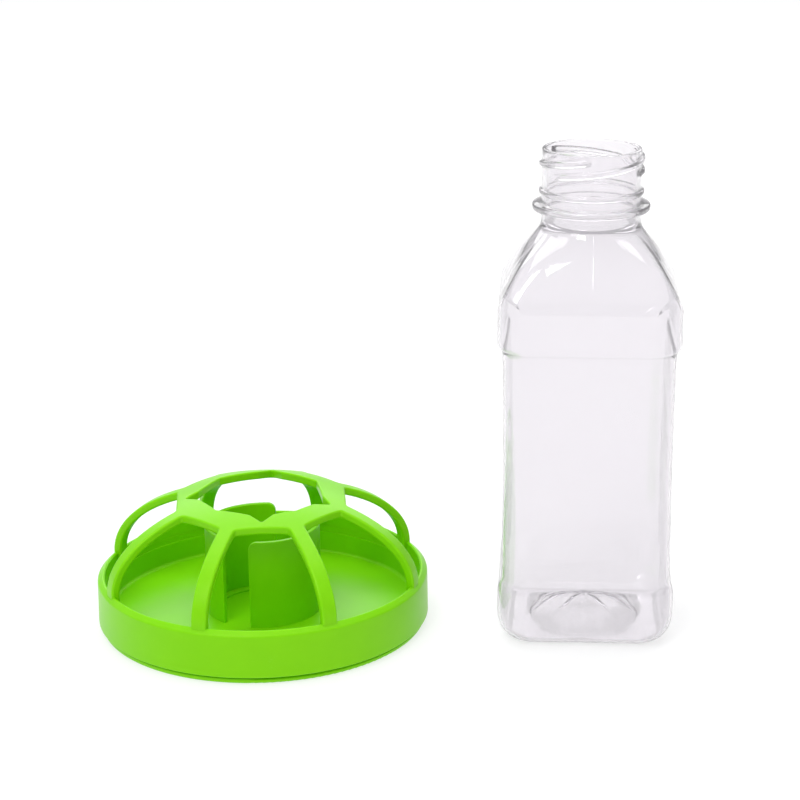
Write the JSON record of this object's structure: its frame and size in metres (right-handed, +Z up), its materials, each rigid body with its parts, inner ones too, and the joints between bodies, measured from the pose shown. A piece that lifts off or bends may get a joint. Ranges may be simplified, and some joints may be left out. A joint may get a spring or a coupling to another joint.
{
  "type": "wasp trap",
  "caption": "Gravity-fed wasp trap: a round tray with a split neck seat, a domed cage cover with a notched opening, and a clear square bottle stood beside it.",
  "frame": {"origin": "centre of the bounding box on the ground, between the tray and the bottle", "axes": "+X from the tray towards the bottle, -Y to the front, +Z up along the axes of the tray and the bottle"},
  "size_m": [0.2172, 0.1242, 0.18],
  "materials": {
    "green_plastic": "satin, slightly translucent",
    "clear_plastic": "clear, glossy"
  },
  "bodies": {
    "tray": {"tray": "green_plastic"},
    "cage_cover": {"cage_cover": "green_plastic"},
    "bottle": {"bottle": "clear_plastic"}
  },
  "joints": [
    {"name": "cover_lift", "type": "slide", "parent": "tray", "child": "cage_cover", "axis": [0, 0, 1], "range_m": [0, 0.04]},
    {"name": "bottle_lift", "type": "slide", "parent": "tray", "child": "bottle", "axis": [0, 0, 1], "range_m": [0, 0.06]}
  ]
}
